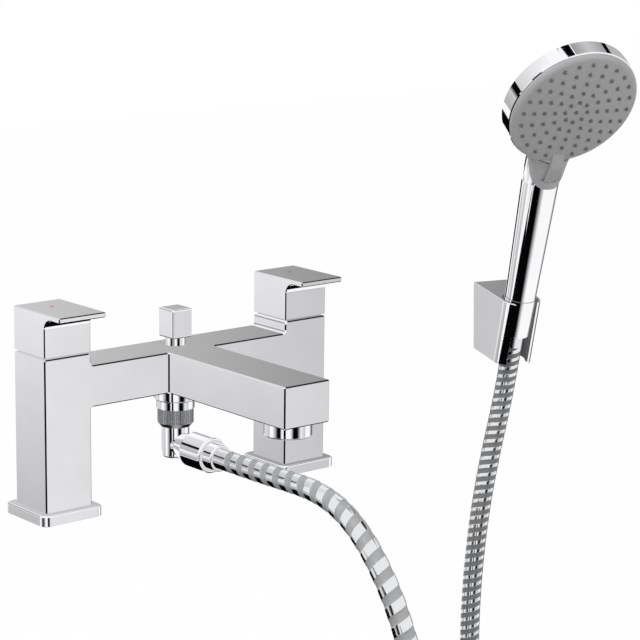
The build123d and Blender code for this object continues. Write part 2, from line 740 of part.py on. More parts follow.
seat_top_radius = nut_top_radius + nut_seat_gap
seat_bottom_radius = nut_bottom_radius + nut_seat_gap
nut_bottom = holder.offset(-nut_length)
with BuildPart() as bracket_liner:
    with BuildSketch(bracket_base):
        Circle(liner_radius)
    extrude(amount=2 * bracket_height)
    with BuildSketch(nut_bottom):
        Circle(seat_bottom_radius)
    with BuildSketch(holder):
        Circle(seat_top_radius)
    loft(mode=Mode.SUBTRACT)
    with BuildSketch(nut_bottom):
        Circle(seat_bottom_radius)
    extrude(amount=-2 * bracket_height, mode=Mode.SUBTRACT)
    with BuildSketch(holder):
        Circle(seat_top_radius)
    extrude(amount=bracket_height, mode=Mode.SUBTRACT)
    with BuildSketch(bracket_base):
        with Locations((0, -bracket_front_radius)):
            Rectangle(2 * bracket_slot_half, 2 * bracket_front_radius)
    extrude(amount=2 * bracket_height, mode=Mode.SUBTRACT)
    split(bisect_by=bracket_top_cut.offset(-liner_edge), keep=Keep.BOTTOM)
    split(bisect_by=bracket_bottom_cut.offset(liner_edge), keep=Keep.TOP)
bracket_liner.part.label = "bracket_liner"
export_step(bracket_liner.part, "parts/bracket_liner.step")

plate_plane = Plane(wall_point - Vector(0, 0, backplate_drop), x_dir=sideways, z_dir=forward)
with BuildPart() as bracket_backplate:
    with BuildSketch(plate_plane):
        Rectangle(backplate_width, backplate_height)
        with GridLocations(backplate_hole_spacing, backplate_hole_spacing, 1, 2):
            Circle(backplate_hole_radius, mode=Mode.SUBTRACT)
    extrude(amount=backplate_thickness)
bracket_backplate.part.label = "bracket_backplate"
export_step(bracket_backplate.part, "parts/bracket_backplate.step")

# Cone nut, hose end and filter washer, which lift out of the bracket with the hand shower
nut_top = holder.offset(-nut_top_gap)
thread_floor = holder.offset(-nut_thread_depth)
flange_top = thread_floor.offset(-filter_height)
with BuildPart() as cone_nut:
    with BuildSketch(nut_bottom):
        Circle(nut_bottom_radius)
    with BuildSketch(nut_top):
        Circle(nut_top_radius)
    loft()
    with BuildSketch(nut_top):
        Circle(coupling_thread_radius + fit_clearance)
    extrude(amount=-(nut_thread_depth + filter_height + hose_flange_height - nut_top_gap), mode=Mode.SUBTRACT)
    with BuildSketch(nut_bottom):
        Circle(nut_lip_radius + fit_clearance)
    extrude(amount=nut_length, mode=Mode.SUBTRACT)
cone_nut.part.label = "cone_nut"
export_step(cone_nut.part, "parts/cone_nut.step")

with BuildPart() as filter_washer:
    with BuildSketch(thread_floor):
        Circle(coupling_thread_radius)
        with GridLocations(insert_hole_pitch, insert_hole_pitch, filter_hole_rows, filter_hole_rows):
            Circle(insert_hole_radius, mode=Mode.SUBTRACT)
    extrude(amount=-filter_height)
filter_washer.part.label = "filter_washer"
export_step(filter_washer.part, "parts/filter_washer.step")

with BuildPart() as hose_tail:
    with BuildSketch(flange_top):
        Circle(coupling_thread_radius)
    extrude(amount=-hose_flange_height)
    with BuildSketch(flange_top):
        Circle(nut_lip_radius)
    extrude(amount=-(nut_length - nut_thread_depth - filter_height))
    with BuildSketch(nut_bottom):
        Circle(hose_bore / 2)
    extrude(amount=nut_length, mode=Mode.SUBTRACT)
hose_tail.part.label = "hose_tail"
export_step(hose_tail.part, "parts/hose_tail.step")

# Spray head frame: z is the way the water leaves, y points down the face to the handle
face_normal = (-holder.y_dir).rotate(Axis((0, 0, 0), sideways), head_tilt)
face_centre = holder.origin + handle_axis * head_rise - holder.y_dir * head_forward
head = Plane(face_centre, x_dir=sideways, z_dir=face_normal)

# Hand shower body: tapered handle, bent neck and chrome back shell of the head
handle_top = holder.offset(handle_taper_length)
neck_length = head_rise - handle_taper_length


# Plane of one section of the neck, which leans forward into the back of the head
def neck_plane(forward_share, rise_share, turn):
    rise = handle_axis * neck_length * rise_share
    lean = -holder.y_dir * head_forward * forward_share
    heading = handle_axis.rotate(Axis((0, 0, 0), sideways), turn)
    return Plane(handle_top.origin + lean + rise, x_dir=sideways, z_dir=heading)


neck_shares = (
    (0.0, 0.0, 0.0, 1.0, 1.0),
    (0.04, 0.30, 8.0, 1.03, 0.96),
    (0.18, 0.58, 26.0, 1.25, 0.80),
    (0.46, 0.84, 50.0, 1.6, 0.50),
)
dome_radius = (head_radius**2 + head_dome**2) / (2 * head_dome)
dome_centre = face_centre + face_normal * (dome_radius - head_rim - head_dome)
with BuildPart() as handset_outside:
    with BuildSketch(holder):
        Circle(handle_bottom_radius)
    with BuildSketch(handle_top):
        Circle(handle_top_radius)
    loft(ruled=True)
    for forward_share, rise_share, turn, width_share, depth_share in neck_shares:
        with BuildSketch(neck_plane(forward_share, rise_share, turn)):
            Ellipse(handle_top_radius * width_share, handle_top_radius * depth_share)
    loft()
    with BuildSketch(head.offset(-head_rim)):
        Circle(head_radius)
    extrude(amount=head_rim - trim_ring_setback)
    with BuildSketch(Plane(dome_centre, x_dir=sideways, z_dir=-head.y_dir)):
        with BuildLine():
            rim_level = dome_radius - head_dome
            half_angle = atan2(head_radius, rim_level) / 2
            middle = (dome_radius * sin(half_angle), -dome_radius * cos(half_angle))
            ThreePointArc((0, -dome_radius), middle, (head_radius, -rim_level))
            Polyline((head_radius, -rim_level), (0, -rim_level), (0, -dome_radius))
        make_face()
    revolve(axis=Axis(dome_centre, face_normal))

with BuildPart() as handset_inside:
    with BuildSketch(holder):
        Circle(handle_bottom_radius - handle_wall)
    with BuildSketch(handle_top):
        Circle(handle_top_radius - handle_wall)
    loft(ruled=True)
    for forward_share, rise_share, turn, width_share, depth_share in neck_shares:
        with BuildSketch(neck_plane(forward_share, rise_share, turn)):
            half_width = handle_top_radius * width_share - handle_wall
            half_depth = handle_top_radius * depth_share - handle_wall
            Ellipse(half_width, half_depth)
    loft()
    with BuildSketch(head.offset(head_wall - head_rim)):
        Circle(head_radius - head_wall)
    extrude(amount=head_rim)

# Room that the trim ring, the spray disc and its tab take from the shell and the insert
with BuildPart() as spray_room:
    with BuildSketch(head.offset(-trim_ring_setback)):
        Circle(head_radius + insert_gap)
    extrude(amount=head_rim)
    with BuildSketch(head.offset(tab_lift - insert_gap)):
        Circle(tab_reach + insert_gap)
    extrude(amount=head_rim)

with BuildPart() as handset_body:
    add(handset_outside.part)
    add(handset_inside.part, mode=Mode.SUBTRACT)
    add(spray_room.part, mode=Mode.SUBTRACT)
handset_body.part.label = "handset_body"
export_step(handset_body.part, "parts/handset_body.step")

# Grey insert that flares from the handle into the lower edge of the head
insert_shares = (
    (0.0, 0.60, 0.46, -0.57),
    (0.34, 0.94, 0.62, -0.50),
    (0.68, 1.10, 0.78, -0.43),
    (1.0, 1.45, 0.88, -0.40),
)
with BuildPart() as neck_insert:
    for rise_share, width_share, depth_share, centre_share in insert_shares:
        with BuildSketch(holder.offset(insert_end + (insert_top - insert_end) * rise_share)):
            with Locations((0, handle_top_radius * centre_share)):
                Ellipse(handle_top_radius * width_share, handle_top_radius * depth_share)
    loft()
    add(handset_outside.part, mode=Mode.SUBTRACT)
    add(spray_room.part, mode=Mode.SUBTRACT)
neck_insert.part.label = "neck_insert"
export_step(neck_insert.part, "parts/neck_insert.step")

# Water way of the hand shower
with BuildPart() as handset_nipple:
    with BuildSketch(thread_floor.offset(disc_gap)):
        Circle(coupling_thread_radius)
    extrude(amount=nut_thread_depth - disc_gap)
    with BuildSketch(holder):
        Circle(handle_bottom_radius - handle_wall)
    extrude(amount=nipple_collar_height)
    with BuildSketch(thread_floor):
        Circle(nipple_bore)
    extrude(amount=nut_thread_depth + nipple_collar_height, mode=Mode.SUBTRACT)
handset_nipple.part.label = "handset_nipple"
export_step(handset_nipple.part, "parts/handset_nipple.step")

with BuildPart() as water_pipe:
    with BuildSketch(holder.offset(nipple_collar_height)):
        Circle(pipe_radius + handle_wall)
        Circle(pipe_bore, mode=Mode.SUBTRACT)
    extrude(amount=handle_wall)
    with BuildSketch(holder.offset(nipple_collar_height)):
        Circle(pipe_radius)
        Circle(pipe_bore, mode=Mode.SUBTRACT)
    extrude(amount=pipe_top - nipple_collar_height)
water_pipe.part.label = "water_pipe"
export_step(water_pipe.part, "parts/water_pipe.step")

# Spray disc that turns in the head, its silicone nozzles, and what lies behind them
ring_radii = [ring_start + ring_pitch * index for index in range(len(ring_counts))]
nozzle_places = [(0, 0)]
for radius, count in zip(ring_radii, ring_counts):
    for index in range(count):
        angle = 2 * pi * index / count - pi / 2
        under_tab = index == 0 and radius > tab_root
        if not under_tab:
            nozzle_places.append((radius * cos(angle), radius * sin(angle)))
mat_radius = ring_radii[-1] + 2 * nozzle_root_radius
mat_top = -spray_thickness
mat_bottom = mat_top - mat_thickness
crown_radius = (spray_radius**2 + spray_crown**2) / (2 * spray_crown)
spray_section = Plane(face_centre, x_dir=sideways, z_dir=-head.y_dir)
with BuildPart() as spray_disc:
    with BuildSketch(spray_section):
        with BuildLine():
            half_angle = atan2(spray_radius, crown_radius) / 2
            rise = crown_radius * (1 - cos(half_angle))
            crown_middle = (crown_radius * sin(half_angle), spray_crown - rise)
            ThreePointArc((0, spray_crown), crown_middle, (spray_radius, 0))
            bulge = (spray_rim_radius - spray_rim_drop / 3, -spray_rim_drop / 3)
            ThreePointArc((spray_radius, 0), bulge, (spray_rim_radius, -spray_rim_drop))
            Polyline(
                (spray_rim_radius, -spray_rim_drop),
                (spray_rim_radius, mat_top),
                (0, mat_top),
                (0, spray_crown),
            )
        make_face()
    revolve(axis=Axis(face_centre, face_normal))
    with BuildSketch(Plane(face_centre, x_dir=-head.y_dir, z_dir=-sideways).offset(-tab_width / 2)):
        with BuildLine():
            Spline(
                (tab_root, 0),
                (tab_root + tab_rise_length, tab_lift + tab_height),
                (tab_reach - tab_width / 2, tab_lift + tab_height),
                (tab_reach, tab_lift),
                tangents=((1, 1 / 2), (0, -1)),
            )
            Polyline(
                (tab_reach, tab_lift),
                (spray_rim_radius, tab_lift),
                (spray_radius, mat_top / 2),
                (tab_root, mat_top / 2),
                (tab_root, 0),
            )
        make_face()
    extrude(amount=tab_width)
    with BuildSketch(head.offset(mat_top)):
        with Locations(*nozzle_places):
            Circle(nozzle_root_radius)
    extrude(amount=2 * spray_thickness, mode=Mode.SUBTRACT)
spray_disc.part.label = "spray_disc"
export_step(spray_disc.part, "parts/spray_disc.step")

with BuildPart() as spray_nozzles:
    with BuildSketch(head.offset(mat_bottom)):
        Circle(mat_radius)
    extrude(amount=mat_thickness)
    for place in nozzle_places:
        reach = hypot(*place)
        crown_here = spray_crown * (1 - (reach / spray_radius) ** 2)
        cone_height = mat_thickness / 2 + spray_thickness + crown_here + nozzle_height
        with Locations(head.offset(mat_top - mat_thickness / 2).location * Location(place)):
            Cone(nozzle_root_radius, nozzle_radius, cone_height, align=stand)
spray_nozzles.part.label = "spray_nozzles"
export_step(spray_nozzles.part, "parts/spray_nozzles.step")

distributor_top = mat_bottom - loose_fit
distributor_plane = head.offset(distributor_top - distributor_thickness)
with BuildPart() as distributor:
    with BuildSketch(distributor_plane):
        Circle(head_radius - head_wall)
        with PolarLocations(distributor_hole_circle, distributor_holes):
            Circle(distributor_hole_radius, mode=Mode.SUBTRACT)
    extrude(amount=distributor_thickness)
distributor.part.label = "distributor"
export_step(distributor.part, "parts/distributor.step")

with BuildPart() as head_seal:
    with BuildSketch(head.offset(distributor_top)):
        Circle(head_radius - head_wall)
        Circle(mat_radius + loose_fit, mode=Mode.SUBTRACT)
    extrude(amount=mat_thickness)
head_seal.part.label = "head_seal"
export_step(head_seal.part, "parts/head_seal.step")

with BuildPart() as trim_ring:
    with BuildSketch(spray_section):
        with BuildLine():
            Polyline(
                (head_radius - head_wall, -trim_ring_setback),
                (head_radius, -trim_ring_setback),
                (head_radius, mat_top - loose_fit - trim_bevel),
                (head_radius - trim_bevel, mat_top - loose_fit),
                (head_radius - head_wall, mat_top - loose_fit),
                close=True,
            )
        make_face()
    revolve(axis=Axis(face_centre, face_normal))
trim_ring.part.label = "trim_ring"
export_step(trim_ring.part, "parts/trim_ring.step")

# Hose from the mixer down over the bath edge and up to the hand shower
hose_exit = Vector(0, -ferrule_end, outlet_axis_height)
hose_arrival = nut_bottom.origin
route = [
    hose_exit,
    (0, -94, outlet_axis_height),
    (0, -136, 35.4),
    (0, -158, 35.1),
    (0, -182, 30.3),
    (0, -203.5, 18.6),
    (1, -221, 1.4),
    (3, -238, -24),
    (7, -252, -62),
    (13, -262, -116),
    (22, -265, -184),
    (36, -259, -259),
    (60, -241, -335),
    (98, -207, -397),
    (146, -163, -420),
    (190, -122, -399),
    (218, -94, -341),
    (231, -76, -264),
    (236, -66, -184),
    (240, -61.5, -114),
    (247.5, -60.5, -53),
    (257.5, -60.5, -6),
    (267.5, -61.3, 33),
    hose_arrival - handle_axis * hose_last_run,
    hose_arrival,
]
route = [Vector(point) for point in route]
hose_radii = []
for before, corner, after in zip(route, route[1:], route[2:]):
    turn = radians((corner - before).get_angle(after - corner))
    shorter = min((corner - before).length, (after - corner).length)
    hose_radii.append(run_share * shorter / tan(turn / 2))
with BuildLine() as hose_line:
    FilletPolyline(*route, radius=hose_radii)
hose_path = hose_line.wire()
print("hose length", round(hose_path.length, 1), "radii", [round(radius) for radius in hose_radii])

# The hose is a ribbed tube with its bore, plain where it meets its ends
hose_radius = hose_diameter / 2
rib_land = rib_pitch * rib_land_share
rib_ramp = rib_pitch * rib_ramp_share
rib_count = int((hose_path.length - 2 * hose_diameter) / rib_pitch)
rib_start = (hose_path.length - rib_count * rib_pitch) / 2
stations = [(0, hose_radius)]
for index in range(rib_count):
    rib = rib_start + index * rib_pitch
    stations.append((rib, hose_radius))
    stations.append((rib + rib_ramp, hose_radius - rib_depth))
    stations.append((rib + rib_pitch - rib_land - rib_ramp, hose_radius - rib_depth))
    stations.append((rib + rib_pitch - rib_land, hose_radius))
stations.append((hose_path.length, hose_radius))

# Planes square to the hose, each keeping the X axis of the one before so that none turns about it
steady = Vector(1, 0, 0)
hose_sections = []
for reach, radius in stations:
    share = reach / hose_path.length
    heading = hose_path % share
    steady = (steady - heading * steady.dot(heading)).normalized()
    hose_sections.append((Plane(hose_path @ share, x_dir=steady, z_dir=heading), radius))
bore_sections = [hose_sections[0], *hose_sections[1::4]]
with BuildPart() as hose:
    for plane, radius in hose_sections:
        with BuildSketch(plane):
            Circle(radius)
    loft(ruled=True)
    for plane, radius in bore_sections:
        with BuildSketch(plane):
            Circle(hose_bore / 2)
    loft(ruled=True, mode=Mode.SUBTRACT)
hose.part.label = "hose"
export_step(hose.part, "parts/hose.step")
hose_section = pi * (hose_radius**2 - (hose_bore / 2) ** 2)
plain_volume = hose_section * hose_path.length
print("ribs", rib_count, "volume share of a plain tube", round(hose.part.volume / plain_volume, 3))
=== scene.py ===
import math

import bpy
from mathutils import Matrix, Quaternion, Vector


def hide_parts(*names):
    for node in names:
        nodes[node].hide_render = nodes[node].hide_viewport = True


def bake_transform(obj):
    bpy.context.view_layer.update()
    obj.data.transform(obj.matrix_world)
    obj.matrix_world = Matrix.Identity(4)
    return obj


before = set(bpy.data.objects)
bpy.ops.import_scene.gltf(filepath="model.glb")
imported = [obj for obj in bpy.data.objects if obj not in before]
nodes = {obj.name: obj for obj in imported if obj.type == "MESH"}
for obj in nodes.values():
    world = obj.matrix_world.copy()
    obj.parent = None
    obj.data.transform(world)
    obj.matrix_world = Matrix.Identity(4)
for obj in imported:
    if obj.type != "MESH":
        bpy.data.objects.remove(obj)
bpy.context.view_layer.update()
scene = bpy.context.scene


# sRGB hex to linear light
def linear(hex_colour):
    parts = [int(hex_colour[i : i + 2], 16) / 255 for i in (1, 3, 5)]
    return (*[p / 12.92 if p <= 0.04045 else ((p + 0.055) / 1.055) ** 2.4 for p in parts], 1.0)


# One node with its settings and the sockets that feed it
def add(tree, kind, settings=None, links=None):
    made = tree.nodes.new(kind)
    for name, value in (settings or {}).items():
        if isinstance(name, int) or name in made.inputs:
            made.inputs[name].default_value = value
        else:
            setattr(made, name, value)
    for name, source in (links or {}).items():
        tree.links.new(source, made.inputs[name])
    return made


# Shares of the noise between which a finish goes from its first value to its second
grain_low_share, grain_high_share = 0.35, 0.65


# A finish: two close colours, roughness between two values and a fine relief, all from one noise
def finish(name, colours, metallic, roughness, grain_mm, relief_mm, extra=None):
    made = bpy.data.materials.new(name)
    made.use_nodes = True
    tree = made.node_tree
    tree.nodes.clear()
    place = add(tree, "ShaderNodeTexCoord")
    grain = add(
        tree,
        "ShaderNodeTexNoise",
        {"Scale": 1000 / grain_mm, "Detail": 4.0, "Roughness": 0.55},
        {"Vector": place.outputs["Object"]},
    )
    tint = add(tree, "ShaderNodeValToRGB", {}, {"Fac": grain.outputs["Fac"]})
    tint.color_ramp.elements[0].position = grain_low_share
    tint.color_ramp.elements[1].position = grain_high_share
    tint.color_ramp.elements[0].color = linear(colours[0])
    tint.color_ramp.elements[1].color = linear(colours[1])
    rough = add(
        tree,
        "ShaderNodeMapRange",
        {
            "From Min": grain_low_share,
            "From Max": grain_high_share,
            "To Min": roughness[0],
            "To Max": roughness[1],
        },
        {"Value": grain.outputs["Fac"]},
    )
    bump = add(
        tree,
        "ShaderNodeBump",
        {"Strength": 1.0, "Distance": relief_mm / 1000},
        {"Height": grain.outputs["Fac"]},
    )
    shader = add(
        tree,
        "ShaderNodeBsdfPrincipled",
        {"Metallic": metallic, **(extra or {})},
        {
            "Base Color": tint.outputs["Color"],
            "Roughness": rough.outputs["Result"],
            "Normal": bump.outputs["Normal"],
        },
    )
    add(tree, "ShaderNodeOutputMaterial", {}, {"Surface": shader.outputs["BSDF"]})
    return made


# Polished chromium plate over brass: a near mirror, with the faint waviness of buffed metal
chrome_on_brass = finish("chrome_plate_on_brass", ("#f6f6f8", "#fafafc"), 1.0, (0.02, 0.04), 22.0, 0.0003)
# The same plate over a knurled band, whose fine cuts break up the reflection through a rougher, raised
# surface; its darker tint is painted shade standing for the shade inside the cuts
knurled_chrome_painted_shade = finish("chrome_plate_on_knurling", ("#9a9b9d", "#a6a7a9"), 1.0, (0.22, 0.3), 1.0, 0.01)
# Chromium plate over moulded ABS: as bright, a little softer and less flat
chrome_on_abs = finish("chrome_plate_on_abs", ("#f6f6f8", "#fafafc"), 1.0, (0.025, 0.05), 30.0, 0.0004)
# Moulded ABS in mid grey with a fine satin grain, which spreads the highlight
satin_abs = finish("satin_grey_abs", ("#a6a6a7", "#adadae"), 0.0, (0.34, 0.42), 0.9, 0.012, {"IOR": 1.53})
# Silicone rubber of the nozzles: darker grey, soft and dull
silicone = finish(
    "grey_silicone_rubber", ("#69696a", "#727273"), 0.0, (0.5, 0.62), 1.2, 0.01, {"IOR": 1.41}
)
# Acetal sleeve in the bracket: dark grey, waxy
acetal = finish("grey_acetal", ("#4c4c4e", "#565658"), 0.0, (0.34, 0.44), 1.5, 0.008, {"IOR": 1.48})
# EPDM washers and deck seals: matt black
epdm = finish("black_epdm_rubber", ("#141414", "#1c1c1c"), 0.0, (0.7, 0.85), 0.8, 0.02, {"IOR": 1.52})
# Turned brass of the inlets and valve parts: yellow metal with a dull cut surface
brass = finish("turned_brass", ("#c9a45c", "#d6b36b"), 1.0, (0.22, 0.34), 2.0, 0.006)
# Ground alumina discs: cream white, smooth
alumina = finish("ground_alumina", ("#e9e5da", "#f1eee6"), 0.0, (0.12, 0.2), 1.0, 0.002, {"IOR": 1.76})
# Brushed stainless steel of the spring, screws and back plate
stainless = finish("brushed_stainless_steel", ("#b4b5b7", "#c2c3c5"), 1.0, (0.24, 0.36), 0.8, 0.008)
# Natural acetal of the hidden water ways: milky white
pale_acetal = finish("natural_acetal", ("#dcdbd4", "#e6e5df"), 0.0, (0.34, 0.44), 1.5, 0.006, {"IOR": 1.48})
# Glossy enamel in the index dots
red_enamel = finish("red_enamel", ("#b3151a", "#bd1c20"), 0.0, (0.12, 0.2), 0.6, 0.003, {"IOR": 1.5})
blue_enamel = finish("blue_enamel", ("#1a3f9c", "#2148a8"), 0.0, (0.12, 0.2), 0.6, 0.003, {"IOR": 1.5})

finishes = {
    chrome_on_brass: (
        "mixer_body base_plate_hot base_plate_cold lever_hot lever_cold diverter_knob outlet_adapter elbow "
        "hose_nut hose_ferrule aerator_housing cover_sleeve_hot cover_sleeve_cold bracket_shell cone_nut"
    ),
    # The knurled band's darker tint is painted shade
    knurled_chrome_painted_shade: "union_nut",
    chrome_on_abs: "handset_body trim_ring",
    satin_abs: "neck_insert spray_disc",
    silicone: "spray_nozzles",
    acetal: "bracket_liner aerator_insert",
    epdm: (
        "deck_seals cartridge_seals diverter_ring union_washer hose_washer aerator_seal filter_washer "
        "head_seal"
    ),
    brass: (
        "inlet_nipple_hot inlet_nipple_cold cartridge_housing_hot cartridge_housing_cold "
        "spindle_hot spindle_cold diverter_seat diverter_bush diverter_stem diverter_valve hose_tail"
    ),
    alumina: "fixed_discs moving_disc_hot moving_disc_cold",
    stainless: "lever_grub_hot lever_grub_cold diverter_spring bracket_backplate",
    pale_acetal: "check_valve handset_nipple water_pipe distributor",
    red_enamel: "index_dot_hot",
    blue_enamel: "index_dot_cold",
}
# Pieces don't mirror one another: each shows only the panels and the white surround
for material, names in finishes.items():
    for name in names.split():
        mesh = nodes[name].data
        mesh.materials.clear()
        mesh.materials.append(material)
        nodes[name].visible_glossy = False

# Hose route: straight out of its ferrule, down over the bath edge, and up into the cone nut
hose_points = [
    (0, -0.054, 0.0345),
    (0, -0.094, 0.0345),
    (0, -0.136, 0.0354),
    (0, -0.158, 0.0351),
    (0, -0.182, 0.0303),
    (0, -0.2035, 0.0186),
    (0.001, -0.221, 0.0014),
    (0.003, -0.238, -0.024),
    (0.007, -0.252, -0.062),
    (0.013, -0.262, -0.116),
    (0.022, -0.265, -0.184),
    (0.036, -0.259, -0.259),
    (0.06, -0.241, -0.335),
    (0.098, -0.207, -0.397),
    (0.146, -0.163, -0.42),
    (0.19, -0.122, -0.399),
    (0.218, -0.094, -0.341),
    (0.231, -0.076, -0.264),
    (0.236, -0.066, -0.184),
    (0.24, -0.0615, -0.114),
    (0.2475, -0.0605, -0.053),
    (0.2575, -0.0605, -0.006),
    (0.2675, -0.0613, 0.033),
    (0.27135, -0.06432, 0.06458),
    (0.26921, -0.07179, 0.09356),
]
hose_radius = 0.0075
hose_plain_end = 0.014
winding_lead = 0.0134
groove_depth = 0.00035
# Reaches along the hose between which its broad winding changes to the fine one
broad_reach, fine_reach = 0.5, 0.7
# What the fine winding takes from the groove's depth, and how much wider it makes the seams
fine_flattening_share = 0.7
fine_seam_share = 0.25
# Value of the winding wave at which the groove has its full depth
groove_floor = -0.75
steps_per_lead = 24
around = 48

line = bpy.data.curves.new("hose_line", "CURVE")
line.dimensions = "3D"
line.resolution_u = 24
spline = line.splines.new("NURBS")
spline.points.add(len(hose_points) - 1)
for control, place in zip(spline.points, hose_points):
    control.co = (*place, 1)
spline.order_u = 3
spline.use_endpoint_u = True
line_object = bpy.data.objects.new("hose_line", line)
scene.collection.objects.link(line_object)
line_mesh = bpy.data.meshes.new_from_object(line_object)
hose_line = [vertex.co.copy() for vertex in line_mesh.vertices]
bpy.data.objects.remove(line_object)

# Even steps along the line, each with a side direction that doesn't turn about it
reaches = [0.0]
for before, after in zip(hose_line, hose_line[1:]):
    reaches.append(reaches[-1] + (after - before).length)
hose_length = reaches[-1]
step_count = round(hose_length / (winding_lead / steps_per_lead))
rings = []
segment = 0
side = Vector((1, 0, 0))
for step in range(step_count + 1):
    reach = hose_length * step / step_count
    while segment < len(reaches) - 2 and reaches[segment + 1] < reach:
        segment += 1
    span = reaches[segment + 1] - reaches[segment]
    here = hose_line[segment].lerp(hose_line[segment + 1], (reach - reaches[segment]) / span)
    ahead = hose_line[min(segment + 2, len(hose_line) - 1)] - hose_line[max(segment - 1, 0)]
    ahead.normalize()
    side = (side - ahead * side.dot(ahead)).normalized()
    rings.append((reach, here, side.copy(), ahead.cross(side)))


# Smooth step from 0 at low to 1 at high, where high may be the smaller of the two
def smooth(low, high, value):
    share = min(max((value - low) / (high - low), 0), 1)
    return share * share * (3 - 2 * share)


# The hose: a strip wound once round in each lead near the mixer and twice near the handset, with
# a shallow groove along its seam, and plain for a short way at both ends
hose_mesh = bpy.data.meshes.new("hose_winding")
corners = []
winding = []
fineness = []
for reach, here, side, other in rings:
    plain = smooth(hose_plain_end, hose_plain_end / 2, min(reach, hose_length - reach))
    fine = smooth(broad_reach, fine_reach, reach)
    depth = groove_depth * (1 - fine_flattening_share * fine)
    for index in range(around):
        angle = 2 * math.pi * index / around
        single = math.sin(2 * math.pi * reach / winding_lead - angle)
        double = math.sin(4 * math.pi * reach / winding_lead - 2 * angle)
        wave = single * (1 - fine) + (double - fine_seam_share) * fine
        wave = wave * (1 - plain) + plain
        radius = hose_radius - depth * smooth(0, groove_floor, wave)
        corners.append(here + (side * math.cos(angle) + other * math.sin(angle)) * radius)
        winding.append(wave)
        fineness.append(fine)
quads = []
for ring in range(len(rings) - 1):
    for index in range(around):
        beside = (index + 1) % around
        first, second = ring * around, (ring + 1) * around
        quads.append((first + index, first + beside, second + beside, second + index))
hose_mesh.from_pydata(corners, [], quads)
hose_mesh.update()
hose_mesh.attributes.new("winding", "FLOAT", "POINT").data.foreach_set("value", winding)
hose_mesh.attributes.new("fineness", "FLOAT", "POINT").data.foreach_set("value", fineness)
hose_mesh.polygons.foreach_set("use_smooth", [True] * len(quads))
hose = bpy.data.objects.new("hose_winding", hose_mesh)
hose.visible_glossy = False
scene.collection.objects.link(hose)

# Metallised strip under clear vinyl: bright metal turns with duller grey seams between them. The
# seams are darker where the winding is fine, and their edge is sharp
seam_edge = 0.06
hose_finish = bpy.data.materials.new("metallised_vinyl_winding")
hose_finish.use_nodes = True
tree = hose_finish.node_tree
tree.nodes.clear()
turn = add(tree, "ShaderNodeAttribute", {"attribute_name": "winding"})
close = add(tree, "ShaderNodeAttribute", {"attribute_name": "fineness"})
bright = add(
    tree,
    "ShaderNodeMapRange",
    {"From Min": -seam_edge, "From Max": seam_edge},
    {"Value": turn.outputs["Fac"]},
)
seam = add(
    tree,
    "ShaderNodeMix",
    {"data_type": "RGBA", 6: linear("#a6a7a9"), 7: linear("#757678")},
    {0: close.outputs["Fac"]},
)
strip = add(
    tree,
    "ShaderNodeMix",
    {"data_type": "RGBA", 7: linear("#e6e7e9")},
    {0: bright.outputs["Result"], 6: seam.outputs[2]},
)
dull = add(
    tree,
    "ShaderNodeMapRange",
    {"From Min": -seam_edge, "From Max": seam_edge, "To Min": 0.36, "To Max": 0.13},
    {"Value": turn.outputs["Fac"]},
)
metal = add(
    tree,
    "ShaderNodeMapRange",
    {"From Min": -seam_edge, "From Max": seam_edge, "To Min": 0.15, "To Max": 1.0},
    {"Value": turn.outputs["Fac"]},
)
shader = add(
    tree,
    "ShaderNodeBsdfPrincipled",
    {"Coat Weight": 0.2, "Coat Roughness": 0.12},
    {
        "Base Color": strip.outputs[2],
        "Roughness": dull.outputs["Result"],
        "Metallic": metal.outputs["Result"],
    },
)
add(tree, "ShaderNodeOutputMaterial", {}, {"Surface": shader.outputs["BSDF"]})
hose_mesh.materials.append(hose_finish)

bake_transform(hose)
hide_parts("hose")


# 1 for rays from the camera and for those that a mirror or a clear piece sends on, else 0
def seen_directly(tree):
    rays = add(tree, "ShaderNodeLightPath")
    seen = add(
        tree,
        "ShaderNodeMath",
        {"operation": "MAXIMUM"},
        {0: rays.outputs["Is Camera Ray"], 1: rays.outputs["Is Glossy Ray"]},
    )
    return add(
        tree,
        "ShaderNodeMath",
        {"operation": "MAXIMUM"},
        {0: seen.outputs[0], 1: rays.outputs["Is Transmission Ray"]},
    )


# White floor well below the hanging loop: nearly all its own glow, the rest keeps the shadow
floor_height = -1.6
floor_reach = 12
floor_glow_share = 0.98
white_stage = bpy.data.materials.new("white_floor")
white_stage.use_nodes = True
tree = white_stage.node_tree
tree.nodes.clear()
seen = seen_directly(tree)
share = add(tree, "ShaderNodeMath", {"operation": "MULTIPLY", 1: floor_glow_share}, {0: seen.outputs[0]})
matt = add(tree, "ShaderNodeBsdfDiffuse", {"Color": linear("#fafafa")})
glow = add(tree, "ShaderNodeEmission", {"Color": linear("#ffffff"), "Strength": 1.0})
both = add(
    tree,
    "ShaderNodeMixShader",
    {},
    {"Fac": share.outputs[0], 1: matt.outputs["BSDF"], 2: glow.outputs["Emission"]},
)
add(tree, "ShaderNodeOutputMaterial", {}, {"Surface": both.outputs["Shader"]})
floor_corners = [
    (-floor_reach, -floor_reach, floor_height),
    (floor_reach, -floor_reach, floor_height),
    (floor_reach, floor_reach, floor_height),
    (-floor_reach, floor_reach, floor_height),
]
floor_mesh = bpy.data.meshes.new("floor")
floor_mesh.from_pydata(floor_corners, [], [(0, 1, 2, 3)])
floor_mesh.materials.append(white_stage)
floor = bpy.data.objects.new("floor", floor_mesh)
floor.visible_glossy = False
scene.collection.objects.link(floor)

